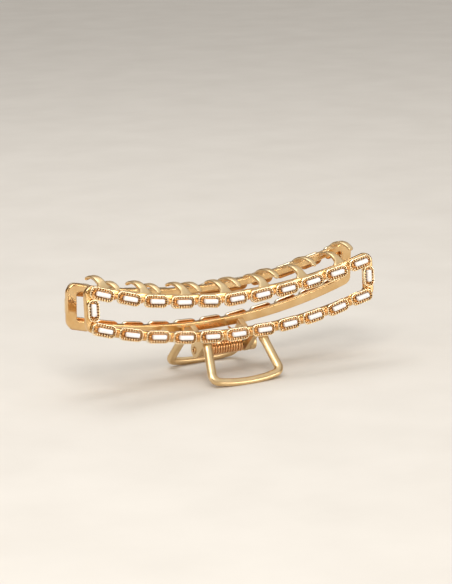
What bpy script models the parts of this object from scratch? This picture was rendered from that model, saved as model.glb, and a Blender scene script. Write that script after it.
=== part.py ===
"""Gold hair claw clip: two cast jaws with thumb loops, a hinge pin, a spring and soldered chains of links.

Metres, +Z up. X runs along the clip, -Y is the front. The clip stands on its thumb loops with its teeth up,
and the origin is on the ground midway between the loops. The rear jaw is the front one turned half a turn
about Z.
"""

import math

import bmesh
import bpy
from mathutils import Matrix, Vector

MM = 0.001

# Overall layout
MID_HEIGHT = 20.55 * MM         # height midway between the two bars of a jaw, at x = 0
JAW_OFFSET = 7.54 * MM          # distance of each jaw's mid plane from y = 0
JAW_LEAN = math.radians(5.2)    # the jaws lean towards each other at the top
JAW_SKEW = math.radians(0.92)   # each jaw sits slightly turned in its own plane, its left end raised
SMILE_RADIUS = 168.8 * MM       # both bars rise towards their ends on this radius

# Jaw frame
FRAME_HALF_LENGTH = 52.3 * MM
FRAME_THICKNESS = 1.8 * MM
FRAME_EDGE = 0.35 * MM
FRAME_CORNER = 3.0 * MM
WINDOW_CORNER = 1.2 * MM
END_BAR_WIDTH = 3.5 * MM
TOP_BAR_LOW = 5.5 * MM
TOP_BAR_HIGH = 8.0 * MM
LOW_BAR_LOW = -7.35 * MM
LOW_BAR_HIGH = -4.1 * MM
BAR_STEPS = 14

# Teeth
TOOTH_PITCH = 14.25 * MM
TOOTH_SHIFT = -0.18             # in pitches, so that the two jaws' teeth pass each other
TEETH_EACH_SIDE = 3
TOOTH_WIDTH = 2.6 * MM
TOOTH_EDGE = 0.25 * MM
TOOTH_REACH_SHARE = 0.97        # half span of a tooth's arch, as a share of its root's distance from y = 0
TOOTH_RISE = 3.7 * MM
TOOTH_ROOT_HEIGHT = 6.5 * MM
TOOTH_ROOT_THICKNESS = 1.6 * MM
TOOTH_TIP_THICKNESS = 0.9 * MM
TOOTH_TIP_ANGLE = math.radians(37.0)
TOOTH_SLANT = math.radians(4.0)  # each tooth turns a little from square across the clip
TOOTH_STEPS = 8

# Hinge
PIN_HEIGHT = 9.05 * MM
PIN_RADIUS = 0.95 * MM
PIN_HALF_LENGTH = 11.3 * MM
PIN_CHAMFER = 0.2 * MM
HOLE_RADIUS = 1.08 * MM
EAR_RADIUS = 2.6 * MM
EAR_ROOT_RADIUS = 1.3 * MM
EAR_ROOT_SHIFT = 0.15 * MM      # the root's centre, outside the jaw's mid plane
EAR_THICKNESS = 2.0 * MM
EAR_EDGE = 0.2 * MM
EAR_POSITIONS = (-9.9 * MM, 7.7 * MM)
ROUND_SIDES = 20

# Thumb loop
LOOP_LEAN = math.radians(37.0)
LOOP_TOP = 6.1 * MM             # below the mid height, where the legs leave the lower bar
LOOP_TOP_OFFSET = 6.2 * MM      # from y = 0
LOOP_LENGTH = 16.6 * MM         # along the leaning plane, to the corners' outer edge
LOOP_SAG = 1.5 * MM             # how far the bottom bar bows below its corners
LOOP_TOP_HALF = 11.2 * MM       # half the width over the legs
LOOP_BOTTOM_HALF = 13.8 * MM
LOOP_BAR = 2.5 * MM
LOOP_LEG = 2.9 * MM
LOOP_THICKNESS = 2.3 * MM
LOOP_EDGE = 0.7 * MM
LOOP_CORNER = 3.6 * MM
LOOP_STEPS = 6

# Spring
SPRING_MEAN_RADIUS = 2.25 * MM
SPRING_WIRE_RADIUS = 0.32 * MM
SPRING_HALF_LENGTH = 6.2 * MM
SPRING_TURNS = 13
SPRING_TURN_STEPS = 8
SPRING_LEG_REACH = 8.2 * MM
SPRING_GAP = 0.08 * MM

# Chain of links on each jaw's outer face
LINK_PITCH = 9.5 * MM
LINKS_EACH_SIDE = 5
LINK_LENGTH = 9.1 * MM
LINK_WIDTH = 4.1 * MM
LINK_THICKNESS = 1.3 * MM
LINK_ROW_HEIGHT = 5.7 * MM
LINK_CORNER_SHARE = 0.3         # of the width, cut off each corner
END_LINK_LENGTH = 7.1 * MM
END_LINK_WIDTH = 3.9 * MM
END_LINK_POSITION = 50.0 * MM
CHAIN_GAP = 0.05 * MM
POCKET_GAP = 0.08 * MM

# Stones set in the links
STONE_LENGTH = 5.2 * MM
END_STONE_LENGTH = 4.2 * MM
STONE_WIDTH = 1.5 * MM
STONE_HEIGHT = 1.9 * MM
STONE_EDGE = 0.3 * MM

WELD = 0.00001


def smile(x):
    """Rise of a bar's centre line at x above its middle."""
    return SMILE_RADIUS - math.sqrt(SMILE_RADIUS**2 - x**2)


def make_collection(name):
    collection = bpy.data.collections.new(name)
    bpy.context.scene.collection.children.link(collection)
    return collection


def make_material(name, colour, metallic, roughness):
    material = bpy.data.materials.new(name)
    material.use_nodes = True
    shader = material.node_tree.nodes["Principled BSDF"]
    shader.inputs["Base Color"].default_value = (*colour, 1.0)
    shader.inputs["Metallic"].default_value = metallic
    shader.inputs["Roughness"].default_value = roughness
    return material


def add_object(name, mesh, collection, material=None):
    obj = bpy.data.objects.new(name, mesh)
    collection.objects.link(obj)
    if material:
        mesh.materials.append(material)
    return obj


def curve_to_object(curve, name, matrix, collection, material=None):
    """Turns a curve into a welded mesh object that is placed by a matrix."""
    guide = bpy.data.objects.new(name + "_guide", curve)
    bpy.context.scene.collection.objects.link(guide)
    graph = bpy.context.evaluated_depsgraph_get()
    mesh = bpy.data.meshes.new_from_object(guide.evaluated_get(graph))
    bpy.data.objects.remove(guide)
    bpy.data.curves.remove(curve)
    mesh.name = name
    shape = bmesh.new()
    shape.from_mesh(mesh)
    bmesh.ops.remove_doubles(shape, verts=shape.verts, dist=WELD)
    bmesh.ops.recalc_face_normals(shape, faces=shape.faces)
    bmesh.ops.transform(shape, matrix=matrix, verts=shape.verts)
    shape.to_mesh(mesh)
    shape.free()
    mesh.shade_smooth()
    mesh.set_sharp_from_angle(angle=math.radians(35.0))
    return add_object(name, mesh, collection, material)


def plate(name, outlines, thickness, edge, matrix, collection, material=None):
    """A flat plate cut to closed outlines, with rounded edges; the first outline is the outer one."""
    curve = bpy.data.curves.new(name, "CURVE")
    curve.dimensions = "2D"
    curve.fill_mode = "BOTH"
    curve.extrude = thickness / 2 - edge
    curve.bevel_depth = edge
    curve.bevel_resolution = 0
    curve.offset = -edge
    curve.resolution_u = 1
    curve.render_resolution_u = 0
    for points in outlines:
        spline = curve.splines.new("POLY")
        spline.points.add(len(points) - 1)
        for point, (x, y) in zip(spline.points, points):
            point.co = (x, y, 0.0, 1.0)
        spline.use_cyclic_u = True
    return curve_to_object(curve, name, matrix, collection, material)


def rounded(corners, steps=4):
    """Outline through (x, y, radius) corners, each rounded with an arc of that radius."""
    outline = []
    count = len(corners)
    for i, (x, y, radius) in enumerate(corners):
        here = Vector((x, y))
        if radius <= 0.0:
            outline.append((x, y))
            continue
        before = (Vector(corners[i - 1][:2]) - here).normalized()
        after = (Vector(corners[(i + 1) % count][:2]) - here).normalized()
        half = before.angle(after) / 2
        middle = here + (before + after).normalized() * (radius / math.sin(half))
        start = here + before * (radius / math.tan(half)) - middle
        turn = math.copysign(math.pi - 2 * half, before.cross(after))
        for k in range(steps + 1):
            point = middle + Matrix.Rotation(-turn * k / steps, 2) @ start
            outline.append((point.x, point.y))
    return outline


def box(name, size, matrix, collection, material=None):
    mesh = bpy.data.meshes.new(name)
    shape = bmesh.new()
    bmesh.ops.create_cube(shape, size=1.0, matrix=matrix @ Matrix.Diagonal((*size, 1.0)))
    shape.to_mesh(mesh)
    shape.free()
    return add_object(name, mesh, collection, material)


def rod(name, radius, length, matrix, collection, material=None, sides=ROUND_SIDES):
    """A cylinder along the matrix's X axis."""
    mesh = bpy.data.meshes.new(name)
    shape = bmesh.new()
    turn = Matrix.Rotation(math.radians(90.0), 4, "Y")
    bmesh.ops.create_cone(
        shape,
        cap_ends=True,
        segments=sides,
        radius1=radius,
        radius2=radius,
        depth=length,
        matrix=matrix @ turn,
    )
    shape.to_mesh(mesh)
    shape.free()
    mesh.shade_smooth()
    mesh.set_sharp_from_angle(angle=math.radians(35.0))
    return add_object(name, mesh, collection, material)


def bevel(obj, width, segments=1):
    modifier = obj.modifiers.new("edges", "BEVEL")
    modifier.width = width
    modifier.segments = segments
    modifier.limit_method = "ANGLE"


def combine(obj, operation, others):
    """A Boolean against every solid in a collection of cutters, which are hidden from renders."""
    for other in others.objects:
        other.hide_render = True
        other.display_type = "WIRE"
    modifier = obj.modifiers.new(operation.lower(), "BOOLEAN")
    modifier.operation = operation
    modifier.solver = "MANIFOLD"
    modifier.operand_type = "COLLECTION"
    modifier.collection = others


def jaw_plane():
    """Matrix of the front jaw's mid plane: local X along the jaw, local Y up the plane, local Z outwards."""
    place = Matrix.Translation((0.0, -JAW_OFFSET, MID_HEIGHT))
    lean = Matrix.Rotation(math.radians(90.0) - JAW_LEAN, 4, "X")
    return place @ lean @ Matrix.Rotation(-JAW_SKEW, 4, "Z")


def cross_plane(x):
    """Matrix of a plane across the clip at x: local X to the rear, local Y up, local Z along the clip."""
    columns = ((0.0, 1.0, 0.0), (0.0, 0.0, 1.0), (1.0, 0.0, 0.0))
    return Matrix.Translation((x, 0.0, 0.0)) @ Matrix(columns).transposed().to_4x4()


def bar_edge(half_length, height, corner, direction):
    """Corners of one long edge of the frame or its window, following the smile."""
    corners = []
    for k in range(BAR_STEPS + 1):
        x = direction * half_length * (2 * k / BAR_STEPS - 1)
        at_end = k in (0, BAR_STEPS)
        corners.append((x, height + smile(x), corner if at_end else 0.0))
    return corners


def frame_outlines():
    outer = bar_edge(FRAME_HALF_LENGTH, LOW_BAR_LOW, FRAME_CORNER, 1)
    outer += bar_edge(FRAME_HALF_LENGTH, TOP_BAR_HIGH, FRAME_CORNER, -1)
    inside = FRAME_HALF_LENGTH - END_BAR_WIDTH
    inner = bar_edge(inside, LOW_BAR_HIGH, WINDOW_CORNER, 1)
    inner += bar_edge(inside, TOP_BAR_LOW, WINDOW_CORNER, -1)
    return [rounded(outer), rounded(inner)]


def tooth_outline(reach):
    """Side view of a tooth: a tapering strap that arches from its own bar towards the other jaw."""
    outer = []
    inner = []
    for k in range(TOOTH_STEPS + 1):
        share = k / TOOTH_STEPS
        angle = math.pi + (TOOTH_TIP_ANGLE - math.pi) * share
        half = (TOOTH_ROOT_THICKNESS + (TOOTH_TIP_THICKNESS - TOOTH_ROOT_THICKNESS) * share) / 2
        outer.append(((reach + half) * math.cos(angle), (TOOTH_RISE + half) * math.sin(angle)))
        inner.append(((reach - half) * math.cos(angle), (TOOTH_RISE - half) * math.sin(angle)))
    return outer[::-1] + inner


def tooth_positions():
    return [(k + TOOTH_SHIFT) * TOOTH_PITCH for k in range(-TEETH_EACH_SIDE, TEETH_EACH_SIDE + 1)]


def ear_outline():
    """Rounded lug around the pin, tapering towards the root of the thumb loop."""
    root = Vector((-JAW_OFFSET - EAR_ROOT_SHIFT, MID_HEIGHT - LOOP_TOP))
    pin = Vector((0.0, PIN_HEIGHT))
    way = root - pin
    heading = math.atan2(way.y, way.x)
    spread = math.acos((EAR_RADIUS - EAR_ROOT_RADIUS) / way.length)
    outline = []
    for centre, radius, first, last in (
        (root, EAR_ROOT_RADIUS, -spread, spread),
        (pin, EAR_RADIUS, spread, 2 * math.pi - spread),
    ):
        steps = 6 if radius == EAR_ROOT_RADIUS else 14
        for k in range(steps + 1):
            angle = heading + first + (last - first) * k / steps
            outline.append((centre.x + radius * math.cos(angle), centre.y + radius * math.sin(angle)))
    return outline


def loop_plane():
    """Matrix of the thumb loop's plane: local X along the clip, local Y up the plane, local Z outwards."""
    place = Matrix.Translation((0.0, -LOOP_TOP_OFFSET, MID_HEIGHT - LOOP_TOP))
    return place @ Matrix.Rotation(math.radians(90.0) - LOOP_LEAN, 4, "X")


def loop_outline():
    """The loop is one U-shaped outline: down the left leg, along the bowed bar, and up the right leg."""
    bottom_inside = LOOP_BOTTOM_HALF - LOOP_LEG
    top_inside = LOOP_TOP_HALF - LOOP_LEG
    low = -LOOP_LENGTH
    high = LOOP_BAR - LOOP_LENGTH
    outer_bow = []
    inner_bow = []
    for k in range(1, LOOP_STEPS):
        share = 2 * k / LOOP_STEPS - 1
        sag = LOOP_SAG * (1 - share**2)
        outer_bow.append((LOOP_BOTTOM_HALF * share, low - sag, 0.0))
        inner_bow.append((bottom_inside * share, high - sag, 0.0))
    outer = [(-LOOP_TOP_HALF, 0.0, 0.0), (-LOOP_BOTTOM_HALF, low, LOOP_CORNER), *outer_bow]
    outer += [(LOOP_BOTTOM_HALF, low, LOOP_CORNER), (LOOP_TOP_HALF, 0.0, 0.0)]
    inner = [(top_inside, 0.0, 0.0), (bottom_inside, high, LOOP_CORNER / 3), *inner_bow[::-1]]
    inner += [(-bottom_inside, high, LOOP_CORNER / 3), (-top_inside, 0.0, 0.0)]
    return rounded(outer + inner)


def build_jaw(side, turn, parts, cutters, gold):
    """One casting: frame, teeth, hinge ears and thumb loop."""
    name = side + "_jaw"
    jaw = plate(name, frame_outlines(), FRAME_THICKNESS, FRAME_EDGE, turn @ jaw_plane(), parts, gold)
    added = bpy.data.collections.new(name + "_additions")
    cutters.children.link(added)
    for number, x in enumerate(tooth_positions(), 1):
        root = jaw_plane() @ Vector((x, TOOTH_ROOT_HEIGHT + smile(x), 0.0))
        reach = -root.y * TOOTH_REACH_SHARE
        place = turn @ Matrix.Translation(root) @ Matrix.Rotation(TOOTH_SLANT, 4, "Z")
        arch = place @ Matrix.Translation((0.0, reach, 0.0)) @ cross_plane(0.0)
        plate(f"{name}_tooth_{number}", [tooth_outline(reach)], TOOTH_WIDTH, TOOTH_EDGE, arch, added)
    for number, x in enumerate(EAR_POSITIONS, 1):
        place = turn @ cross_plane(x)
        plate(f"{name}_ear_{number}", [ear_outline()], EAR_THICKNESS, EAR_EDGE, place, added)
    plate(name + "_loop", [loop_outline()], LOOP_THICKNESS, LOOP_EDGE, turn @ loop_plane(), added)
    combine(jaw, "UNION", added)
    removed = bpy.data.collections.new(name + "_removals")
    cutters.children.link(removed)
    axis = turn @ Matrix.Translation((0.0, 0.0, PIN_HEIGHT))
    rod(name + "_pin_hole", HOLE_RADIUS, 4 * PIN_HALF_LENGTH, axis, removed)
    ground = Matrix.Translation((0.0, 0.0, -5.0 * MM))
    box(name + "_ground", (60.0 * MM, 60.0 * MM, 10.0 * MM), ground, removed)
    combine(jaw, "DIFFERENCE", removed)
    return jaw


def link_places():
    """Label, local place on the jaw's face, length, width and stone length of each link of a chain."""
    places = []
    for row, height in (("bottom", -LINK_ROW_HEIGHT), ("top", LINK_ROW_HEIGHT)):
        for number in range(-LINKS_EACH_SIDE, LINKS_EACH_SIDE + 1):
            slope = number * LINK_PITCH / SMILE_RADIUS
            x = SMILE_RADIUS * math.sin(slope)
            place = Matrix.Translation((x, height + smile(x), 0.0)) @ Matrix.Rotation(slope, 4, "Z")
            label = f"{row}_{number + LINKS_EACH_SIDE + 1:02d}"
            places.append((label, place, LINK_LENGTH, LINK_WIDTH, STONE_LENGTH))
    for label, x in (("left", -END_LINK_POSITION), ("right", END_LINK_POSITION)):
        place = Matrix.Translation((x, smile(x), 0.0)) @ Matrix.Rotation(math.radians(90.0), 4, "Z")
        places.append((label, place, END_LINK_LENGTH, END_LINK_WIDTH, END_STONE_LENGTH))
    return places


def link_side(place, length, width, side):
    """The four corners along one long side of an elongated octagon, in order along its local X."""
    cut = width * LINK_CORNER_SHARE
    half_length = length / 2
    half_width = width / 2
    corners = (
        (-half_length, half_width - cut),
        (cut - half_length, half_width),
        (half_length - cut, half_width),
        (half_length, half_width - cut),
    )
    placed = [place @ Vector((x, side * y, 0.0)) for x, y in corners]
    return [(point.x, point.y) for point in placed]


def chain_outlines():
    """Outer and inner edge of the ring of links, and a pocket for each stone."""
    sides = {}
    pockets = []
    for label, place, length, width, stone_length in link_places():
        sides[label] = [link_side(place, length, width, side) for side in (-1, 1)]
        half_length = stone_length / 2 + POCKET_GAP
        half_width = STONE_WIDTH / 2 + POCKET_GAP
        corners = [(-1, -1), (1, -1), (1, 1), (-1, 1)]
        placed = [place @ Vector((half_length * x, half_width * y, 0.0)) for x, y in corners]
        pockets.append([(point.x, point.y) for point in placed])
    numbers = range(1, 2 * LINKS_EACH_SIDE + 2)
    low_outer = [point for n in numbers for point in sides[f"bottom_{n:02d}"][0]]
    low_inner = [point for n in numbers for point in sides[f"bottom_{n:02d}"][1]]
    high_inner = [point for n in numbers for point in sides[f"top_{n:02d}"][0]]
    high_outer = [point for n in numbers for point in sides[f"top_{n:02d}"][1]]
    first, last = numbers[0], numbers[-1]
    right_end = [sides[f"bottom_{last:02d}"][1][-1], *sides["right"][0], sides[f"top_{last:02d}"][0][-1]]
    left_end = [sides[f"top_{first:02d}"][0][0], *sides["left"][1][::-1], sides[f"bottom_{first:02d}"][1][0]]
    outer = low_outer + right_end + high_outer[::-1] + left_end
    inner = low_inner[1:-1] + sides["right"][1][1:-1] + high_inner[-3:1:-1] + sides["left"][0][-2:0:-1]
    return [outer, inner, *pockets]


def build_chain(side, turn, parts, gold, white):
    """The links of one jaw, soldered into one ring, with a stone in a pocket of each link."""
    face = FRAME_THICKNESS / 2 + CHAIN_GAP
    plane = turn @ jaw_plane()
    layer = Matrix.Translation((0.0, 0.0, face + LINK_THICKNESS / 2))
    plate(side + "_link_chain", chain_outlines(), LINK_THICKNESS, 0.0, plane @ layer, parts, gold)
    rest = Matrix.Translation((0.0, 0.0, face + STONE_HEIGHT / 2))
    for label, place, _, _, stone_length in link_places():
        size = (stone_length, STONE_WIDTH, STONE_HEIGHT)
        stone = box(f"{side}_stone_{label}", size, plane @ rest @ place, parts, white)
        bevel(stone, STONE_EDGE)


def build_pin(parts, steel):
    axis = Matrix.Translation((0.0, 0.0, PIN_HEIGHT))
    pin = rod("hinge_pin", PIN_RADIUS, 2 * PIN_HALF_LENGTH, Matrix.Identity(4), parts, steel)
    pin.matrix_world = axis
    bevel(pin, PIN_CHAMFER)


def spring_point(x, angle, radius=SPRING_MEAN_RADIUS):
    return Vector((x, radius * math.cos(angle), PIN_HEIGHT + radius * math.sin(angle)))


def build_spring(parts, steel):
    """A close coil around the pin; each end runs out under the lower bar of one jaw."""
    bar_low = MID_HEIGHT + LOW_BAR_LOW
    rest = Vector((-SPRING_LEG_REACH, bar_low - SPRING_WIRE_RADIUS - SPRING_GAP - PIN_HEIGHT))
    heading = math.atan2(rest.y, rest.x)
    leave = heading - math.acos(SPRING_MEAN_RADIUS / rest.length)
    points = []
    steps = SPRING_TURNS * SPRING_TURN_STEPS
    turn_back = math.pi - 2 * leave
    sweep = 2 * math.pi * SPRING_TURNS
    total = -(sweep + turn_back)
    for k in range(steps + 1):
        share = k / steps
        x = SPRING_HALF_LENGTH * (2 * share - 1)
        points.append(spring_point(x, leave - total * share))
    points.insert(0, Vector((-SPRING_HALF_LENGTH, rest.x, PIN_HEIGHT + rest.y)))
    points.append(Vector((SPRING_HALF_LENGTH, -rest.x, PIN_HEIGHT + rest.y)))
    curve = bpy.data.curves.new("torsion_spring", "CURVE")
    curve.dimensions = "3D"
    curve.bevel_depth = SPRING_WIRE_RADIUS
    curve.bevel_resolution = 2
    curve.use_fill_caps = True
    curve.render_resolution_u = 0
    spline = curve.splines.new("POLY")
    spline.points.add(len(points) - 1)
    for point, position in zip(spline.points, points):
        point.co = (*position, 1.0)
    curve_to_object(curve, "torsion_spring", Matrix.Identity(4), parts, steel)


def main():
    for obj in list(bpy.data.objects):
        bpy.data.objects.remove(obj)
    parts = make_collection("hair_claw_clip")
    cutters = make_collection("cutters")
    gold = make_material("polished_gold", (0.83, 0.60, 0.30), 1.0, 0.22)
    spring_gold = make_material("spring_gold", (0.75, 0.48, 0.26), 1.0, 0.28)
    white = make_material("white_enamel", (0.93, 0.92, 0.90), 0.0, 0.15)
    for side, turn in (("front", Matrix.Identity(4)), ("rear", Matrix.Rotation(math.pi, 4, "Z"))):
        build_jaw(side, turn, parts, cutters, gold)
        build_chain(side, turn, parts, gold, white)
    build_pin(parts, spring_gold)
    build_spring(parts, spring_gold)


main()
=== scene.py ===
import math
import random

import bmesh
import bpy
from mathutils import Matrix, Vector


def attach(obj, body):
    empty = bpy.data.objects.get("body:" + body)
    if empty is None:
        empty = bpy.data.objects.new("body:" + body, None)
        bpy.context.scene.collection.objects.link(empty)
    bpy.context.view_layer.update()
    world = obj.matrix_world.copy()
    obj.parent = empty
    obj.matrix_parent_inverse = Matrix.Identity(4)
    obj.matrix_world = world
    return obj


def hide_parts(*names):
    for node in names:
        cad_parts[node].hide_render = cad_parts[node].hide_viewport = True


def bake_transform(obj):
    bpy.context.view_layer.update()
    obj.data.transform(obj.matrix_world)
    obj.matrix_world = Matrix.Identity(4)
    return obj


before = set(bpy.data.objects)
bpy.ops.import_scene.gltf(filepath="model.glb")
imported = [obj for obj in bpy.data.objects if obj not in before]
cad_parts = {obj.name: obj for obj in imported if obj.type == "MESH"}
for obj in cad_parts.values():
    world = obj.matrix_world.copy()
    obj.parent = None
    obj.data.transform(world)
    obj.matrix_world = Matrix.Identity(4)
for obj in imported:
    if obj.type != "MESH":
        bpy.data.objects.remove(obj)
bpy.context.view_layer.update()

MM = 0.001

# The same layout as the CAD model
MID_HEIGHT = 20.55 * MM
JAW_OFFSET = 7.54 * MM
JAW_LEAN = math.radians(5.2)
JAW_SKEW = math.radians(0.92)
SMILE_RADIUS = 168.8 * MM
FRAME_HALF_LENGTH = 52.3 * MM
FRAME_THICKNESS = 1.8 * MM
FRAME_EDGE = 0.42 * MM
FRAME_CORNER = 3.0 * MM
WINDOW_CORNER = 1.2 * MM
END_BAR_WIDTH = 3.5 * MM
TOP_BAR_LOW = 5.5 * MM
TOP_BAR_HIGH = 8.0 * MM
LOW_BAR_LOW = -7.35 * MM
LOW_BAR_HIGH = -4.1 * MM
BAR_STEPS = 56

# Teeth
TOOTH_PITCH = 14.25 * MM
TOOTH_SHIFT = -0.18
TEETH_EACH_SIDE = 3
TOOTH_REACH_SHARE = 0.97
TOOTH_RISE = 3.7 * MM
TOOTH_ROOT_HEIGHT = 6.5 * MM
TOOTH_TIP_ANGLE = math.radians(34.0)
TOOTH_SLANT = math.radians(4.0)
TOOTH_STEPS = 44
TOOTH_SIDES = 20
TOOTH_ROOT_WIDTH = 3.1 * MM
TOOTH_TIP_WIDTH = 1.7 * MM
TOOTH_ROOT_THICKNESS = 1.45 * MM
TOOTH_TIP_THICKNESS = 0.85 * MM
TOOTH_TAPER = 1.7               # power of the width's fall along the arch
TOOTH_SECTION = 0.55            # squareness of the strap's section
TOOTH_FLARE = 1.6 * MM          # added to the width at the foot
TOOTH_FLARE_FROM = 0.12         # shares of the arch over which the foot's flare fades
TOOTH_FLARE_FADE = 0.07
TOOTH_TIP_SHARE = 0.07          # the last share of the arch, which rounds off

# Hinge
PIN_HEIGHT = 9.05 * MM
PIN_HALF_LENGTH = 11.3 * MM
HOLE_RADIUS = 1.08 * MM
EAR_RADIUS = 2.6 * MM
EAR_ROOT_RADIUS = 1.3 * MM
EAR_ROOT_SHIFT = 0.15 * MM
EAR_THICKNESS = 2.0 * MM
EAR_EDGE = 0.3 * MM
EAR_POSITIONS = (-9.9 * MM, 7.7 * MM)
EAR_ROOT_STEPS = 14
EAR_STEPS = 36
HOLE_STEPS = 40

# Thumb loop
LOOP_LEAN = math.radians(37.0)
LOOP_TOP = 6.1 * MM
LOOP_TOP_OFFSET = 6.2 * MM
LOOP_LENGTH = 16.6 * MM
LOOP_SAG = 1.5 * MM
LOOP_TOP_HALF = 11.2 * MM
LOOP_BOTTOM_HALF = 13.8 * MM
LOOP_BAR = 2.5 * MM
LOOP_LEG = 2.9 * MM
LOOP_THICKNESS = 2.3 * MM
LOOP_CORNER = 3.6 * MM
LOOP_SIDES = 28
LOOP_SECTION = 0.86             # squareness of the rod's section
LOOP_BOW_STEPS = 16
LOOP_BOW_CLEAR = 3              # steps left out next to each corner, for its arc
LOOP_CORNER_STEPS = 12
LOOP_PIECE = 0.5 * MM
# How far below the loop's top, how long and how large, as a share of the width
LOOP_KNOB = (3.2 * MM, 1.0 * MM, 0.13)
LOOP_WAIST = (0.9 * MM, 0.9 * MM, 0.16)

# Spring
SPRING_MEAN_RADIUS = 2.25 * MM
SPRING_WIRE_RADIUS = 0.36 * MM
SPRING_HALF_LENGTH = 6.2 * MM
SPRING_TURNS = 13
SPRING_TURN_STEPS = 28
SPRING_LEG_REACH = 8.2 * MM
SPRING_GAP = 0.08 * MM
SPRING_LEG_STEPS = 12
SPRING_SIDES = 12

# Chain of links
LINK_PITCH = 9.5 * MM
LINKS_EACH_SIDE = 5
LINK_LENGTH = 8.4 * MM
LINK_WIDTH = 4.2 * MM
LINK_ROW_HEIGHT = 5.7 * MM
END_LINK_LENGTH = 7.0 * MM
END_LINK_WIDTH = 3.8 * MM
END_LINK_POSITION = 50.0 * MM
LINK_CORNER = 1.88 * MM
CHAIN_GAP = 0.05 * MM
BEAD_PITCH = 0.8 * MM
BEAD_LINE_SHORTER = 2.5 * MM    # the line of beads runs inside the outline
BEAD_STEPS = 8
BEAD_GAP_STEPS = (3, 4, 5)
BEAD_ROUNDNESS = 0.75
LINK_TILT = math.radians(3.5)
LINK_FLOOR = (0.04 * MM, 0.3 * MM)
LINK_FLOOR_SHARE = 0.95         # the floor's edge lies this share of the wall inside the outline
LINK_FLOOR_STEPS = 40

# Knuckles between links, and the curled end inside each link
END_KNUCKLE_HEIGHT = 4.3 * MM
END_KNUCKLE_SHARE = 0.995       # of the end links' position
KNUCKLE_RADIUS = 0.82 * MM
KNUCKLE_LOW = 0.28 * MM
KNUCKLE_RISE = 0.62 * MM
KNUCKLE_WIRE = 0.26 * MM
KNUCKLE_OVERSWEEP = 0.05        # of half a turn, past each end
KNUCKLE_STEPS = 14
KNUCKLE_SIDES = 10
SOLDER_PLACES = (-0.52 * MM, 0.52 * MM)
SOLDER_HEIGHT = 0.5 * MM
SOLDER_SIZE = (0.5 * MM, 0.62 * MM, 0.46 * MM)
CURL_INSET = 1.5 * MM
CURL_HEIGHT = 0.5 * MM
CURL_SIZE = (0.42 * MM, 0.5 * MM, 0.5 * MM)

STONE_LENGTH = 4.75 * MM
END_STONE_LENGTH = 4.0 * MM
STONE_WIDTH = 1.5 * MM
STONE_SHIFT = 0.42 * MM         # towards one end of its link
END_STONE_SHIFT = 0.15 * MM
STONE_CORNER = 0.4 * MM
STONE_STEPS = 56
STONE_GAP = 0.1 * MM

# Edges sharper than these, in degrees, are shown as edges
PIECE_ANGLE = 35.0
SMALL_PIECE_ANGLE = 50.0
STONE_ANGLE = 60.0
CAST_ANGLE = 38.0

random.seed(11)

SIDES = (("front", Matrix.Identity(4)), ("rear", Matrix.Rotation(math.pi, 4, "Z")))


# ---------------------------------------------------------------- materials


# Stops of the ramps, as (place, colour)
ENAMEL_TONES = (
    (0.3, (0.84, 0.83, 0.84)),
    (0.55, (0.93, 0.92, 0.92)),
    (0.8, (0.97, 0.96, 0.95)),
)
FLOOR_TONES = (
    (0.3, (0.70, 0.67, 0.62)),
    (0.7, (0.74, 0.71, 0.66)),
)


def set_stops(elements, stops):
    """Gives a new ramp, which has two stops, the ones of a list."""
    while len(elements) < len(stops):
        elements.new(0.5)
    for element, (place, colour) in zip(elements, stops):
        element.position = place
        element.color = (*colour, 1.0)


class Nodes:
    """A short way to wire a material's node tree."""

    def __init__(self, name):
        self.material = bpy.data.materials.new(name)
        self.material.use_nodes = True
        self.tree = self.material.node_tree
        self.shader = self.tree.nodes["Principled BSDF"]

    def add(self, kind):
        return self.tree.nodes.new(kind)

    def link(self, source, target):
        self.tree.links.new(source, target)

    def ramp(self, source, stops):
        node = self.add("ShaderNodeValToRGB")
        self.link(source, node.inputs["Fac"])
        set_stops(node.color_ramp.elements, stops)
        return node.outputs["Color"]

    def noise(self, scale, detail=4.0, stretch=(1.0, 1.0, 1.0)):
        """Noise over the object, in features per metre."""
        where = self.add("ShaderNodeTexCoord")
        mapping = self.add("ShaderNodeMapping")
        mapping.inputs["Scale"].default_value = stretch
        self.link(where.outputs["Object"], mapping.inputs["Vector"])
        noise = self.add("ShaderNodeTexNoise")
        noise.inputs["Scale"].default_value = scale
        noise.inputs["Detail"].default_value = detail
        self.link(mapping.outputs["Vector"], noise.inputs["Vector"])
        return noise.outputs["Fac"]

    def bumps(self, layers):
        """Stacked bump layers of (height source, strength, distance)."""
        last = None
        for source, strength, distance in layers:
            bump = self.add("ShaderNodeBump")
            bump.inputs["Strength"].default_value = strength
            bump.inputs["Distance"].default_value = distance
            self.link(source, bump.inputs["Height"])
            if last:
                self.link(last, bump.inputs["Normal"])
            last = bump.outputs["Normal"]
        self.link(last, self.shader.inputs["Normal"])


def gold_material(name, dark, light, roughness, wave, grain):
    """Plated metal: its tone drifts gently, its roughness varies with handling, and its surface waves."""
    nodes = Nodes(name)
    tone = nodes.ramp(nodes.noise(260.0), [(0.32, dark), (0.68, light)])
    nodes.link(tone, nodes.shader.inputs["Base Color"])
    nodes.shader.inputs["Metallic"].default_value = 1.0
    smears = nodes.noise(620.0, 6.0, (1.0, 1.0, 0.35))
    rough = nodes.ramp(smears, [(0.3, (roughness[0],) * 3), (0.72, (roughness[1],) * 3)])
    nodes.link(rough, nodes.shader.inputs["Roughness"])
    nodes.bumps(
        [
            (nodes.noise(180.0, 2.0), wave, 0.0004),
            (nodes.noise(5200.0, 3.0, (0.25, 1.0, 1.0)), grain, 0.00004),
        ]
    )
    return nodes.material


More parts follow.
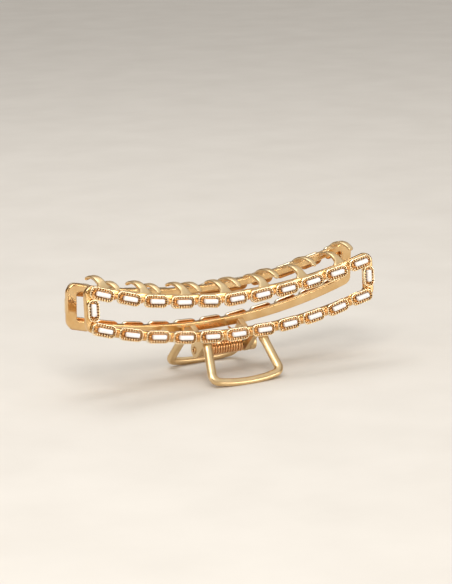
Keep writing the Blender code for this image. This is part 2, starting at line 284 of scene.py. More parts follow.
def enamel_material():
    """Glossy pearl white bars with faint clouds."""
    nodes = Nodes("pearl_enamel")
    clouds = nodes.noise(900.0, 5.0, (1.0, 1.0, 2.2))
    tone = nodes.ramp(clouds, ENAMEL_TONES)
    nodes.link(tone, nodes.shader.inputs["Base Color"])
    rough = nodes.ramp(nodes.noise(1500.0), [(0.3, (0.10,) * 3), (0.7, (0.2,) * 3)])
    nodes.link(rough, nodes.shader.inputs["Roughness"])
    nodes.shader.inputs["Coat Weight"].default_value = 0.7
    nodes.shader.inputs["Coat Roughness"].default_value = 0.06
    nodes.shader.inputs["Subsurface Weight"].default_value = 0.12
    nodes.shader.inputs["Subsurface Radius"].default_value = (0.0008, 0.0007, 0.0006)
    nodes.bumps([(nodes.noise(500.0, 2.0), 0.12, 0.0001)])
    return nodes.material


# ---------------------------------------------------------------- mesh helpers


def to_object(name, shape, material=None, angle=PIECE_ANGLE):
    """Closes a bmesh into an object with outward normals and smooth faces."""
    bmesh.ops.recalc_face_normals(shape, faces=shape.faces)
    mesh = bpy.data.meshes.new(name)
    shape.to_mesh(mesh)
    shape.free()
    mesh.shade_smooth()
    mesh.set_sharp_from_angle(angle=math.radians(angle))
    obj = bpy.data.objects.new(name, mesh)
    bpy.context.scene.collection.objects.link(obj)
    if material:
        mesh.materials.append(material)
    return obj


def skin(shape, rings, closed=False):
    """Quads between rings of points; open runs get a cap at each end. Returns the quads, ring by ring."""
    made = [[shape.verts.new(point) for point in ring] for ring in rings]
    count = len(rings[0])
    runs = len(made) if closed else len(made) - 1
    quads = []
    for i in range(runs):
        here = made[i]
        after = made[(i + 1) % len(made)]
        for j in range(count):
            k = (j + 1) % count
            quads.append(shape.faces.new((here[j], here[k], after[k], after[j])))
    if not closed:
        shape.faces.new(made[0][::-1])
        shape.faces.new(made[-1])
    return quads


def squircle(half_a, half_b, sides, power):
    """Points of a rounded rectangle-like section; power 1 is an ellipse, less is boxier."""
    points = []
    for k in range(sides):
        angle = 2 * math.pi * (k + 0.5) / sides
        cos, sin = math.cos(angle), math.sin(angle)
        a = half_a * math.copysign(abs(cos) ** power, cos)
        b = half_b * math.copysign(abs(sin) ** power, sin)
        points.append((a, b))
    return points


def round_bar(length, width, corner, steps):
    """Evenly spaced points with outward normals round a rectangle with round corners, and its girth."""
    half_length = length / 2 - corner
    half_width = width / 2 - corner
    arcs = (
        (half_length, -half_width, math.radians(-90.0)),
        (half_length, half_width, 0.0),
        (-half_length, half_width, math.radians(90.0)),
        (-half_length, -half_width, math.radians(180.0)),
    )
    pieces = []
    for i, (cx, cy, start) in enumerate(arcs):
        nx, ny, _ = arcs[(i + 1) % len(arcs)]
        pieces.append(("arc", cx, cy, start, corner * math.pi / 2))
        pieces.append(("line", cx, cy, start + math.pi / 2, math.hypot(nx - cx, ny - cy)))
    total = sum(size for *_, size in pieces)
    points = []
    for k in range(steps):
        s = total * k / steps
        for kind, cx, cy, angle, size in pieces:
            if s <= size:
                break
            s -= size
        if kind == "arc":
            angle += s / corner
        normal = Vector((math.cos(angle), math.sin(angle)))
        point = Vector((cx, cy)) + normal * corner
        if kind == "line":
            point += Vector((-normal.y, normal.x)) * s
        points.append((point, normal))
    return points, total


def plate(name, outlines, thickness, edge, matrix, material, fineness=3):
    """A flat plate cut to closed outlines, with rounded edges."""
    curve = bpy.data.curves.new(name, "CURVE")
    curve.dimensions = "2D"
    curve.fill_mode = "BOTH"
    curve.extrude = thickness / 2 - edge
    curve.bevel_depth = edge
    curve.bevel_resolution = fineness
    curve.offset = -edge
    curve.resolution_u = 1
    curve.render_resolution_u = 0
    for points in outlines:
        spline = curve.splines.new("POLY")
        spline.points.add(len(points) - 1)
        for point, (x, y) in zip(spline.points, points):
            point.co = (x, y, 0.0, 1.0)
        spline.use_cyclic_u = True
    guide = bpy.data.objects.new(name + "_guide", curve)
    bpy.context.scene.collection.objects.link(guide)
    graph = bpy.context.evaluated_depsgraph_get()
    mesh = bpy.data.meshes.new_from_object(guide.evaluated_get(graph))
    bpy.data.objects.remove(guide)
    bpy.data.curves.remove(curve)
    shape = bmesh.new()
    shape.from_mesh(mesh)
    bpy.data.meshes.remove(mesh)
    bmesh.ops.remove_doubles(shape, verts=shape.verts, dist=0.000004)
    bmesh.ops.transform(shape, matrix=matrix, verts=shape.verts)
    return to_object(name, shape, material)


def rounded(corners, steps=8):
    """Outline through (x, y, radius) corners, each rounded with an arc of that radius."""
    outline = []
    count = len(corners)
    for i, (x, y, radius) in enumerate(corners):
        here = Vector((x, y))
        if radius <= 0.0:
            outline.append((x, y))
            continue
        before = (Vector(corners[i - 1][:2]) - here).normalized()
        after = (Vector(corners[(i + 1) % count][:2]) - here).normalized()
        half = before.angle(after) / 2
        middle = here + (before + after).normalized() * (radius / math.sin(half))
        start = here + before * (radius / math.tan(half)) - middle
        turn = math.copysign(math.pi - 2 * half, before.cross(after))
        for k in range(steps + 1):
            point = middle + Matrix.Rotation(-turn * k / steps, 2) @ start
            outline.append((point.x, point.y))
    return outline


def lathe(name, profile, matrix, material, sides=40):
    """A solid turned about the matrix's X axis from (x, radius) points."""
    shape = bmesh.new()
    rings = []
    for x, radius in profile:
        ring = []
        for k in range(sides):
            angle = 2 * math.pi * k / sides
            ring.append(matrix @ Vector((x, radius * math.cos(angle), radius * math.sin(angle))))
        rings.append(ring)
    skin(shape, rings)
    return to_object(name, shape, material)


def unite(obj, others):
    """Joins every object of a list to one with a Boolean union, and deletes them."""
    group = bpy.data.collections.new("operands")
    bpy.context.scene.collection.children.link(group)
    for other in others:
        group.objects.link(other)
    modifier = obj.modifiers.new("combine", "BOOLEAN")
    modifier.operation = "UNION"
    modifier.solver = "MANIFOLD"
    modifier.operand_type = "COLLECTION"
    modifier.collection = group
    apply_modifiers(obj)
    for other in others:
        bpy.data.objects.remove(other)
    bpy.data.collections.remove(group)


def apply_modifiers(obj):
    """Puts the modified mesh in place of the object's own."""
    graph = bpy.context.evaluated_depsgraph_get()
    graph.update()
    mesh = bpy.data.meshes.new_from_object(obj.evaluated_get(graph))
    obj.modifiers.clear()
    old = obj.data
    obj.data = mesh
    bpy.data.meshes.remove(old)


def finish_shading(obj):
    """Flat faces stay flat next to their rounded edges."""
    obj.data.shade_smooth()
    obj.data.set_sharp_from_angle(angle=math.radians(CAST_ANGLE))
    modifier = obj.modifiers.new("weighted", "WEIGHTED_NORMAL")
    modifier.keep_sharp = True
    modifier.weight = 90
    apply_modifiers(obj)


# ---------------------------------------------------------------- layout


def smile(x):
    return SMILE_RADIUS - math.sqrt(SMILE_RADIUS**2 - x**2)


def jaw_plane():
    """The front jaw's mid plane: local X along the jaw, local Y up the plane, local Z outwards."""
    place = Matrix.Translation((0.0, -JAW_OFFSET, MID_HEIGHT))
    lean = Matrix.Rotation(math.radians(90.0) - JAW_LEAN, 4, "X")
    return place @ lean @ Matrix.Rotation(-JAW_SKEW, 4, "Z")


def loop_plane():
    place = Matrix.Translation((0.0, -LOOP_TOP_OFFSET, MID_HEIGHT - LOOP_TOP))
    return place @ Matrix.Rotation(math.radians(90.0) - LOOP_LEAN, 4, "X")


def cross_plane(x):
    """A plane across the clip at x: local X towards the rear, local Y up, local Z along the clip."""
    columns = ((0.0, 1.0, 0.0), (0.0, 0.0, 1.0), (1.0, 0.0, 0.0))
    return Matrix.Translation((x, 0.0, 0.0)) @ Matrix(columns).transposed().to_4x4()


def bar_edge(half_length, height, corner, direction):
    """Corners of one long edge of the frame or its window; steps near its ends are left out for arcs."""
    corners = []
    for k in range(BAR_STEPS + 1):
        from_end = min(k, BAR_STEPS - k)
        if from_end in (1, 2):
            continue
        x = direction * half_length * (2 * k / BAR_STEPS - 1)
        corners.append((x, height + smile(x), corner if from_end == 0 else 0.0))
    return corners


def frame_outlines():
    outer = bar_edge(FRAME_HALF_LENGTH, LOW_BAR_LOW, FRAME_CORNER, 1)
    outer += bar_edge(FRAME_HALF_LENGTH, TOP_BAR_HIGH, FRAME_CORNER, -1)
    inside = FRAME_HALF_LENGTH - END_BAR_WIDTH
    inner = bar_edge(inside, LOW_BAR_HIGH, WINDOW_CORNER, 1)
    inner += bar_edge(inside, TOP_BAR_LOW, WINDOW_CORNER, -1)
    return [rounded(outer), rounded(inner)]


def tooth_positions():
    return [(k + TOOTH_SHIFT) * TOOTH_PITCH for k in range(-TEETH_EACH_SIDE, TEETH_EACH_SIDE + 1)]


def build_tooth(name, turn, x, material):
    """A claw that leaves the top bar with a flared foot, arches over and tapers to a rounded tip."""
    root = jaw_plane() @ Vector((x, TOOTH_ROOT_HEIGHT + smile(x), 0.0))
    reach = -root.y * TOOTH_REACH_SHARE
    place = turn @ Matrix.Translation(root) @ Matrix.Rotation(TOOTH_SLANT, 4, "Z")
    middle = Vector((0.0, reach, 0.0))
    shape = bmesh.new()
    rings = []
    for k in range(TOOTH_STEPS + 1):
        share = k / TOOTH_STEPS
        angle = math.pi + (TOOTH_TIP_ANGLE - math.pi) * share
        cos, sin = math.cos(angle), math.sin(angle)
        centre = middle + Vector((0.0, reach * cos, TOOTH_RISE * sin))
        normal = Vector((0.0, cos / reach, sin / TOOTH_RISE)).normalized()
        flare = math.exp(-((max(0.0, share - TOOTH_FLARE_FROM)) / TOOTH_FLARE_FADE) ** 2)
        width = TOOTH_ROOT_WIDTH + (TOOTH_TIP_WIDTH - TOOTH_ROOT_WIDTH) * share**TOOTH_TAPER
        width += TOOTH_FLARE * flare
        thick = TOOTH_ROOT_THICKNESS + (TOOTH_TIP_THICKNESS - TOOTH_ROOT_THICKNESS) * share
        end = (1 - share) / TOOTH_TIP_SHARE
        if end < 1.0:
            narrow = math.sqrt(max(0.02, 1 - (1 - end) ** 2))
            width *= narrow
            thick *= 0.35 + 0.65 * narrow
        ring = []
        for a, b in squircle(thick / 2, width / 2, TOOTH_SIDES, TOOTH_SECTION):
            ring.append(place @ (centre + normal * a + Vector((b, 0.0, 0.0))))
        rings.append(ring)
    skin(shape, rings)
    return to_object(name, shape, material)


def ear_outline():
    """Rounded lug round the pin, tapering towards the thumb loop's root."""
    root = Vector((-JAW_OFFSET - EAR_ROOT_SHIFT, MID_HEIGHT - LOOP_TOP))
    pin = Vector((0.0, PIN_HEIGHT))
    way = root - pin
    heading = math.atan2(way.y, way.x)
    spread = math.acos((EAR_RADIUS - EAR_ROOT_RADIUS) / way.length)
    outline = []
    for centre, radius, first, last, steps in (
        (root, EAR_ROOT_RADIUS, -spread, spread, EAR_ROOT_STEPS),
        (pin, EAR_RADIUS, spread, 2 * math.pi - spread, EAR_STEPS),
    ):
        for k in range(steps + 1):
            angle = heading + first + (last - first) * k / steps
            outline.append((centre.x + radius * math.cos(angle), centre.y + radius * math.sin(angle)))
    return outline


def swell(below, place, length, size):
    """A smooth bump of a size, at a place."""
    return size * math.exp(-((below - place) / length) ** 2)


def loop_way():
    """The middle of the bent rod: down a leg, along the bowed bar and up the other leg."""
    leg_top = LOOP_TOP_HALF - LOOP_LEG / 2
    leg_low = LOOP_BOTTOM_HALF - LOOP_LEG / 2
    low = -LOOP_LENGTH + LOOP_BAR / 2
    corner = LOOP_CORNER - LOOP_BAR / 2
    corners = [(-leg_top, 0.0, 0.0), (-leg_low, low, corner)]
    for k in range(LOOP_BOW_CLEAR, LOOP_BOW_STEPS - LOOP_BOW_CLEAR + 1):
        share = 2 * k / LOOP_BOW_STEPS - 1
        corners.append((leg_low * share, low - LOOP_SAG * (1 - share**2), 0.0))
    corners += [(leg_low, low, corner), (leg_top, 0.0, 0.0)]
    way = [Vector(point) for point in rounded(corners, LOOP_CORNER_STEPS)]
    fine = [way[0]]
    for before, after in zip(way, way[1:]):
        pieces = max(1, round((after - before).length / LOOP_PIECE))
        fine += [before.lerp(after, n / pieces) for n in range(1, pieces + 1)]
    return fine


def build_loop(name, turn, material):
    """A thumb loop of one bent rod, with a soft knob and a waist under the jaw."""
    way = loop_way()
    plane = turn @ loop_plane()
    shape = bmesh.new()
    rings = []
    for i, point in enumerate(way):
        along = (way[min(i + 1, len(way) - 1)] - way[max(i - 1, 0)]).normalized()
        side = Vector((along.y, -along.x))
        width = LOOP_BAR + (LOOP_LEG - LOOP_BAR) * min(1.0, abs(along.y) * 1.1)
        knob = 1.0 + swell(-point.y, *LOOP_KNOB)
        waist = 1.0 - swell(-point.y, *LOOP_WAIST)
        ring = []
        half_width = width / 2 * knob * waist
        for a, b in squircle(half_width, LOOP_THICKNESS / 2 * knob, LOOP_SIDES, LOOP_SECTION):
            placed = plane @ Vector((point.x + side.x * a, point.y + side.y * a, b))
            placed.z = max(placed.z, 0.0)
            ring.append(placed)
        rings.append(ring)
    skin(shape, rings)
    return to_object(name, shape, material)


def build_jaw(side, turn, polished, satin):
    """One casting: a polished frame, and satin teeth, ears and thumb loop, in one solid."""
    place = turn @ jaw_plane()
    jaw = plate(side + "_cast_jaw", frame_outlines(), FRAME_THICKNESS, FRAME_EDGE, place, polished)
    jaw.data.materials.append(satin)
    added = [build_tooth(f"{side}_tooth_{n}", turn, x, satin) for n, x in enumerate(tooth_positions(), 1)]
    turns = [2 * math.pi * k / HOLE_STEPS for k in range(HOLE_STEPS)]
    hole = [(HOLE_RADIUS * math.cos(a), PIN_HEIGHT + HOLE_RADIUS * math.sin(a)) for a in turns]
    for x in EAR_POSITIONS:
        place = turn @ cross_plane(x)
        added.append(plate(side + "_ear", [ear_outline(), hole], EAR_THICKNESS, EAR_EDGE, place, satin))
    added.append(build_loop(side + "_loop", turn, satin))
    for part in added:
        part.data.materials.clear()
        part.data.materials.append(polished)
        part.data.materials.append(satin)
        for face in part.data.polygons:
            face.material_index = 1
    unite(jaw, added)
    finish_shading(jaw)
    return jaw


# ---------------------------------------------------------------- chains


def link_places():
    """Label, local place, length, width and stone length of each link of a chain."""
    places = []
    for row, height in (("bottom", -LINK_ROW_HEIGHT), ("top", LINK_ROW_HEIGHT)):
        for number in range(-LINKS_EACH_SIDE, LINKS_EACH_SIDE + 1):
            slope = number * LINK_PITCH / SMILE_RADIUS
            x = SMILE_RADIUS * math.sin(slope)
            tilt = slope + random.uniform(-LINK_TILT, LINK_TILT)
            place = Matrix.Translation((x, height + smile(x), 0.0)) @ Matrix.Rotation(tilt, 4, "Z")
            label = f"{row}_{number + LINKS_EACH_SIDE + 1:02d}"
            places.append((label, place, LINK_LENGTH, LINK_WIDTH, STONE_LENGTH))
    for label, x in (("left", -END_LINK_POSITION), ("right", END_LINK_POSITION)):
        place = Matrix.Translation((x, smile(x), 0.0)) @ Matrix.Rotation(math.radians(90.0), 4, "Z")
        places.append((label, place, END_LINK_LENGTH, END_LINK_WIDTH, END_STONE_LENGTH))
    return places


def joint_places():
    """The local place of each small knuckle that joins neighbouring links."""
    places = []
    for height in (-LINK_ROW_HEIGHT, LINK_ROW_HEIGHT):
        for number in range(-LINKS_EACH_SIDE, LINKS_EACH_SIDE):
            slope = (number + 0.5) * LINK_PITCH / SMILE_RADIUS
            x = SMILE_RADIUS * math.sin(slope)
            places.append(Matrix.Translation((x, height + smile(x), 0.0)) @ Matrix.Rotation(slope, 4, "Z"))
    for x in (-END_LINK_POSITION, END_LINK_POSITION):
        for height in (-END_KNUCKLE_HEIGHT, END_KNUCKLE_HEIGHT):
            lift = Vector((x * END_KNUCKLE_SHARE, smile(x) + height, 0.0))
            places.append(Matrix.Translation(lift) @ Matrix.Rotation(math.radians(90.0), 4, "Z"))
    return places


# Material slots of a chain, after its own gold in slot 0, which is lightened as painted highlight; both of
# these slots hold painted shade
KNUCKLE = 1
SHADED_RECESS = 2

# (inset from the outer edge as a share of the wall, height in millimetres) round a link's wall
RIM_OUTSIDE = (
    (0.05, 0.0),
    (0.0, 0.12),
    (0.0, 1.0),
    (0.03, 1.13),
    (0.1, 1.22),
    (0.2, 1.22),
    (0.26, 1.1),
)
RIM_INSIDE = ((1.0, 0.3), (1.0, 0.1), (0.9, 0.0))
# The beaded crest comes between them, and swings from low to high
BEAD_LOW = ((0.28, 0.6), (0.37, 0.4), (0.72, 0.38), (0.92, 0.36))
BEAD_HIGH = ((0.3, 1.0), (0.38, 1.24), (0.74, 1.22), (0.93, 0.8))


def build_link(shape, place, length, width):
    """A soldered ring with a plain outer rim and a beaded inner one, over a thin floor; the gaps between
    beads, the inner wall and the floor get painted shade.
    """
    _, total = round_bar(length, width, LINK_CORNER, BEAD_STEPS)
    beads = round((total - BEAD_LINE_SHORTER) / BEAD_PITCH)
    samples, _ = round_bar(length, width, LINK_CORNER, beads * BEAD_STEPS)
    wall = (width - STONE_WIDTH) / 2 - STONE_GAP
    rings = []
    for k, (point, normal) in enumerate(samples):
        crest = (0.5 + 0.5 * math.cos(2 * math.pi * k / BEAD_STEPS)) ** BEAD_ROUNDNESS
        profile = list(RIM_OUTSIDE)
        for (low_in, low_up), (high_in, high_up) in zip(BEAD_LOW, BEAD_HIGH):
            profile.append((low_in + (high_in - low_in) * crest, low_up + (high_up - low_up) * crest))
        profile += RIM_INSIDE
        ring = []
        for inset, up in profile:
            flat = point - normal * (inset * wall)
            ring.append(place @ Vector((flat.x, flat.y, up * MM)))
        rings.append(ring)
    quads = skin(shape, rings, closed=True)
    first_bead = len(RIM_OUTSIDE) - 1
    first_inside = len(RIM_OUTSIDE) + len(BEAD_LOW)
    # the gaps between the beads and the inner side of the wall take the dark material, as painted shade
    for number, quad in enumerate(quads):
        step, side = divmod(number, len(rings[0]))
        in_gap = first_bead <= side < first_inside - 1 and step % BEAD_STEPS in BEAD_GAP_STEPS
        if in_gap or side >= first_inside:
            quad.material_index = SHADED_RECESS
    edge = LINK_FLOOR_SHARE * wall
    inner, _ = round_bar(length - 2 * edge, width - 2 * edge, LINK_CORNER - edge, LINK_FLOOR_STEPS)
    # the floor under the stone takes the dark material too, as painted shade
    ring_faces = len(shape.faces)
    skin(shape, [[place @ Vector((p.x, p.y, up)) for p, _ in inner] for up in LINK_FLOOR])
    colour_from(shape, ring_faces, SHADED_RECESS)


def colour_from(shape, first, slot):
    """Gives a material slot to every face of a bmesh from a number on."""
    shape.faces.ensure_lookup_table()
    for face in shape.faces[first:]:
        face.material_index = slot


def blob(shape, place, size, rows=8, sides=14):
    """A closed ellipsoid of half sizes."""
    rings = []
    for i in range(rows + 1):
        angle = math.pi * (i + 0.02) / (rows + 0.04)
        radius, x = math.sin(angle), -math.cos(angle)
        ring = []
        for k in range(sides):
            turn = 2 * math.pi * k / sides
            across = radius * size[1] * math.cos(turn)
            up = radius * size[2] * math.sin(turn)
            ring.append(place @ Vector((x * size[0], across, up)))
        rings.append(ring)
    skin(shape, rings)


def wire(shape, points, radius, sides=12):
    """A round wire through points, with frames carried along so that it doesn't twist."""
    along = (points[1] - points[0]).normalized()
    side = along.orthogonal().normalized()
    rings = []
    for i, point in enumerate(points):
        here = (points[min(i + 1, len(points) - 1)] - points[max(i - 1, 0)]).normalized()
        side = (side - here * side.dot(here)).normalized()
        other = here.cross(side)
        ring = []
        for k in range(sides):
            turn = 2 * math.pi * k / sides
            ring.append(point + (side * math.cos(turn) + other * math.sin(turn)) * radius)
        rings.append(ring)
    skin(shape, rings)


def build_knuckle(shape, place):
    """A small jump ring between two links, with a bead of solder on either side."""
    ring = []
    for k in range(KNUCKLE_STEPS + 1):
        angle = math.pi * (k / KNUCKLE_STEPS * (1 + 2 * KNUCKLE_OVERSWEEP) - KNUCKLE_OVERSWEEP)
        up = KNUCKLE_LOW + KNUCKLE_RISE * math.sin(angle)
        ring.append(place @ Vector((0.0, KNUCKLE_RADIUS * math.cos(angle), up)))
    wire(shape, ring, KNUCKLE_WIRE, KNUCKLE_SIDES)
    for offset in SOLDER_PLACES:
        blob(shape, place @ Matrix.Translation((offset, 0.0, SOLDER_HEIGHT)), SOLDER_SIZE)


def build_chain(side, turn, golds, white):
    """The links of one jaw with their knuckles in one piece, and a stone for each link."""
    face = Matrix.Translation((0.0, 0.0, FRAME_THICKNESS / 2 + CHAIN_GAP))
    plane = turn @ jaw_plane() @ face
    shape = bmesh.new()
    places = link_places()
    for _, place, length, width, _ in places:
        build_link(shape, plane @ place, length, width)
    link_faces = len(shape.faces)
    for place in joint_places():
        build_knuckle(shape, plane @ place)
    for _, place, length, _, _ in places:
        curl = Matrix.Translation((CURL_INSET - length / 2, 0.0, CURL_HEIGHT))
        blob(shape, plane @ place @ curl, CURL_SIZE)
    # the knuckles, solder and curls take the darker gold, as painted shade between and inside the links
    colour_from(shape, link_faces, KNUCKLE)
    chain = to_object(side + "_beaded_chain", shape, golds[0], SMALL_PIECE_ANGLE)
    chain.data.materials.append(golds[KNUCKLE])
    chain.data.materials.append(golds[SHADED_RECESS])
    stones = {}
    for label, place, _, _, stone_length in places:
        shift = END_STONE_SHIFT if label in ("left", "right") else STONE_SHIFT
        seat = plane @ place @ Matrix.Translation((shift, 0.0, 0.0))
        stones[label] = build_stone(f"{side}_bar_{label}", seat, stone_length, white)
    return chain, stones


# (inset from the outline, height) up a stone's side, in millimetres
STONE_PROFILE = (
    (0.1, 0.32),
    (0.02, 0.42),
    (0.0, 0.8),
    (0.0, 1.32),
    (0.03, 1.5),
    (0.1, 1.65),
    (0.22, 1.76),
    (0.38, 1.83),
    (0.58, 1.86),
)


def build_stone(name, place, length, white):
    """A low glossy cushion with a gently domed top."""
    shape = bmesh.new()
    rings = []
    outline, _ = round_bar(length, STONE_WIDTH, STONE_CORNER, STONE_STEPS)
    for inset, up in STONE_PROFILE:
        ring = []
        for point, _ in outline:
            x = point.x * (1 - inset * MM * 2 / length)
            y = point.y * (1 - inset * MM * 2 / STONE_WIDTH)
            ring.append(place @ Vector((x, y, up * MM)))
        rings.append(ring)
    skin(shape, rings)
    return to_object(name, shape, white, STONE_ANGLE)


# ---------------------------------------------------------------- hinge


# (depth from the end, radius) of the pin's cupped end, from the middle of the hollow out, in millimetres
PIN_END = (
    (1.3, 0.15),
    (1.2, 0.4),
    (0.9, 0.55),
    (0.12, 0.6),
    (0.02, 0.66),
    (0.0, 0.76),
    (0.04, 0.86),
    (0.14, 0.93),
    (0.28, 0.95),
)
PIN_SIDES = 48
PIN_HOLLOW = 0.62 * MM


def build_pin(material, dark):
    """A rod with cupped ends, with painted shade inside the cups."""
    half = PIN_HALF_LENGTH
    profile = [(-half + x * MM, r * MM) for x, r in PIN_END]
    profile += [(half - x * MM, r * MM) for x, r in PIN_END[::-1]]
    pin = lathe("rivet_pin", profile, Matrix.Translation((0.0, 0.0, PIN_HEIGHT)), material, PIN_SIDES)
    pin.data.materials.append(dark)
    # faces deep in each cup take the dark material, as painted shade
    radii = [math.hypot(vertex.co.y, vertex.co.z - PIN_HEIGHT) for vertex in pin.data.vertices]
    for face in pin.data.polygons:
        if all(radii[v] < PIN_HOLLOW for v in face.vertices):
            face.material_index = 1
    return pin


def build_spring(material):
    """A close coil round the pin; each end runs out under the lower bar of one jaw."""
    bar_low = MID_HEIGHT + LOW_BAR_LOW
    rest = Vector((-SPRING_LEG_REACH, bar_low - SPRING_WIRE_RADIUS - SPRING_GAP - PIN_HEIGHT))
    heading = math.atan2(rest.y, rest.x)
    leave = heading - math.acos(SPRING_MEAN_RADIUS / rest.length)
    steps = SPRING_TURNS * SPRING_TURN_STEPS
    total = -(2 * math.pi * SPRING_TURNS + math.pi - 2 * leave)
    coil = []
    for k in range(steps + 1):
        share = k / steps
        angle = leave - total * share
        x = SPRING_HALF_LENGTH * (2 * share - 1)
        y = SPRING_MEAN_RADIUS * math.cos(angle)
        coil.append(Vector((x, y, PIN_HEIGHT + SPRING_MEAN_RADIUS * math.sin(angle))))
    start = Vector((-SPRING_HALF_LENGTH, rest.x, PIN_HEIGHT + rest.y))
    end = Vector((SPRING_HALF_LENGTH, -rest.x, PIN_HEIGHT + rest.y))
    points = [start.lerp(coil[0], k / SPRING_LEG_STEPS) for k in range(SPRING_LEG_STEPS)]
    points += coil
    points += [coil[-1].lerp(end, (k + 1) / SPRING_LEG_STEPS) for k in range(SPRING_LEG_STEPS)]
    shape = bmesh.new()
    wire(shape, points, SPRING_WIRE_RADIUS, SPRING_SIDES)
    return to_object("coil_spring", shape, material, SMALL_PIECE_ANGLE)


# ---------------------------------------------------------------- the clip

polished = gold_material(
    "polished_plating",
    dark=(0.76, 0.48, 0.21),
    light=(0.86, 0.60, 0.31),
    roughness=(0.10, 0.22),
    wave=0.10,
    grain=0.05,
)
satin = gold_material(
    "satin_plating",
    dark=(0.75, 0.54, 0.28),
    light=(0.84, 0.64, 0.37),
    roughness=(0.30, 0.42),
    wave=0.12,
    grain=0.10,
)
# The links' gold, made pale cream as painted highlight on the rims and bead crests
link_gold_and_highlight = gold_material(
    "beaded_gold_painted_highlight",
    dark=(0.96, 0.79, 0.52),
    light=(1.0, 0.89, 0.66),
    roughness=(0.18, 0.3),
    wave=0.05,
    grain=0.05,
)
# A darker, more orange gold for the knuckles, solder and curls: painted shade between the parts, not a
# separate plating
knuckle_shade_gold = gold_material(
    "knuckle_painted_shade",
    dark=(0.74, 0.40, 0.14),
    light=(0.84, 0.50, 0.22),
    roughness=(0.16, 0.28),
    wave=0.08,
    grain=0.05,
)
# A dark brown gold used as painted shade in the links' recesses and the pin's cups, not a colour of the
# plating
recess_shade = gold_material(
    "recess_painted_shade",
    dark=(0.40, 0.16, 0.04),
    light=(0.60, 0.28, 0.08),
    roughness=(0.3, 0.42),
    wave=0.08,
    grain=0.05,
)
copper_wire = gold_material(
    "spring_plating",
    dark=(0.80, 0.44, 0.19),
    light=(0.90, 0.56, 0.28),
    roughness=(0.12, 0.22),
    wave=0.04,
    grain=0.12,
)
enamel = enamel_material()

for side, turn in SIDES:
    body = side + "_jaw_body"
    jaw = build_jaw(side, turn, polished, satin)
    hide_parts(side + "_jaw")
    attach(jaw, body)
    chain, stones = build_chain(side, turn, (link_gold_and_highlight, knuckle_shade_gold, recess_shade), enamel)
    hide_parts(side + "_link_chain")
    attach(chain, body)
    for label, stone in stones.items():
        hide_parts(f"{side}_stone_{label}")
        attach(stone, body)

pin = build_pin(satin, recess_shade)
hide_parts("hinge_pin")
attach(pin, "front_jaw_body")

spring = build_spring(copper_wire)
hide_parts("torsion_spring")
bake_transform(spring)

# ---------------------------------------------------------------- stage

CAMERA_AZIMUTH = math.radians(27.99)
CAMERA_ELEVATION = math.radians(13.01)
CAMERA_ROLL = math.radians(-1.39)
CAMERA_DISTANCE = 733.64 * MM
CAMERA_LENS = 139.7
CAMERA_TARGET = Vector((1.21 * MM, 0.0, MID_HEIGHT + 6.21 * MM))
CAMERA_NEAR = 0.01
CAMERA_FAR = 50.0

FLOOR_SIZE = 6.0
FLOOR_ROUGHNESS = 0.85

# Tones of the room by direction, from straight down to straight up
ROOM_TONES = (
    (0.0, (0.6, 0.45, 0.3)),
    (0.1, (0.45, 0.34, 0.23)),
    (0.26, (0.16, 0.11, 0.07)),
    (0.45, (0.3, 0.25, 0.2)),
    (0.62, (0.95, 0.93, 0.9)),
    (1.0, (1.0, 0.99, 0.98)),
)
ROOM_STRENGTH = 0.8

# Name, place, size, power and colour of each light
LIGHTS = (
    ("key", (-0.25, -0.45, 0.55), (0.35, 0.25), 2.6, (1.0, 0.97, 0.93)),
    ("front", (0.42, -0.72, 0.10), (0.34, 0.16), 1.6, (1.0, 0.96, 0.9)),
    ("left", (-0.7, -0.12, 0.22), (0.2, 0.3), 0.8, (1.0, 0.93, 0.85)),
    ("top", (0.0, 0.35, 0.7), (0.5, 0.3), 1.6, (1.0, 0.98, 0.96)),
)


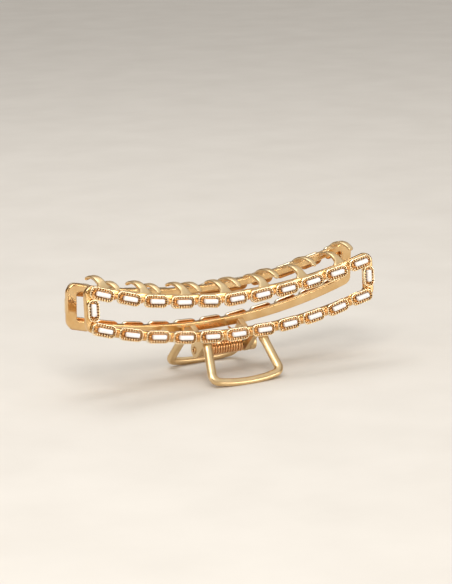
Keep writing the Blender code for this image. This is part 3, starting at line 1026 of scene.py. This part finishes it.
def build_camera():
    """From the left and a little above, rolled slightly."""
    level = Vector((-math.sin(CAMERA_AZIMUTH), -math.cos(CAMERA_AZIMUTH), 0.0))
    back = level * math.cos(CAMERA_ELEVATION) + Vector((0.0, 0.0, math.sin(CAMERA_ELEVATION)))
    right = (-back).cross(Vector((0.0, 0.0, 1.0))).normalized()
    up = right.cross(-back)
    across = right * math.cos(CAMERA_ROLL) + up * math.sin(CAMERA_ROLL)
    above = up * math.cos(CAMERA_ROLL) - right * math.sin(CAMERA_ROLL)
    camera = bpy.data.objects.new("camera", bpy.data.cameras.new("camera"))
    camera.data.lens = CAMERA_LENS
    camera.data.clip_start = CAMERA_NEAR
    camera.data.clip_end = CAMERA_FAR
    turn = Matrix((across, above, back)).transposed().to_4x4()
    camera.matrix_world = Matrix.Translation(CAMERA_TARGET + back * CAMERA_DISTANCE) @ turn
    bpy.context.scene.collection.objects.link(camera)
    bpy.context.scene.camera = camera


def build_light(name, place, size, power, colour):
    """A soft rectangular light that faces the clip."""
    data = bpy.data.lights.new(name, "AREA")
    data.shape = "RECTANGLE"
    data.size = size[0]
    data.size_y = size[1]
    data.energy = power
    data.color = colour
    light = bpy.data.objects.new(name, data)
    light.location = place
    light.rotation_mode = "QUATERNION"
    way = Vector((0.0, 0.0, MID_HEIGHT)) - Vector(place)
    light.rotation_quaternion = way.to_track_quat("-Z", "Y")
    bpy.context.scene.collection.objects.link(light)


def build_floor():
    """A plain pale floor."""
    shape = bmesh.new()
    bmesh.ops.create_grid(shape, x_segments=1, y_segments=1, size=FLOOR_SIZE)
    floor = to_object("floor", shape)
    nodes = Nodes("pale_floor")
    tone = nodes.ramp(nodes.noise(30.0, 3.0), FLOOR_TONES)
    nodes.link(tone, nodes.shader.inputs["Base Color"])
    nodes.shader.inputs["Roughness"].default_value = FLOOR_ROUGHNESS
    floor.data.materials.append(nodes.material)


def build_world():
    """A dim room: a warm band low down, a darker one above it, and a bright ceiling."""
    world = bpy.data.worlds.new("room")
    world.use_nodes = True
    bpy.context.scene.world = world
    tree = world.node_tree
    background = tree.nodes["Background"]
    where = tree.nodes.new("ShaderNodeTexCoord")
    split = tree.nodes.new("ShaderNodeSeparateXYZ")
    ramp = tree.nodes.new("ShaderNodeValToRGB")
    tree.links.new(where.outputs["Generated"], split.inputs["Vector"])
    tree.links.new(split.outputs["Z"], ramp.inputs["Fac"])
    set_stops(ramp.color_ramp.elements, ROOM_TONES)
    tree.links.new(ramp.outputs["Color"], background.inputs["Color"])
    background.inputs["Strength"].default_value = ROOM_STRENGTH


build_camera()
build_floor()
build_world()
for light in LIGHTS:
    build_light(*light)
bpy.context.scene.view_settings.view_transform = "Standard"
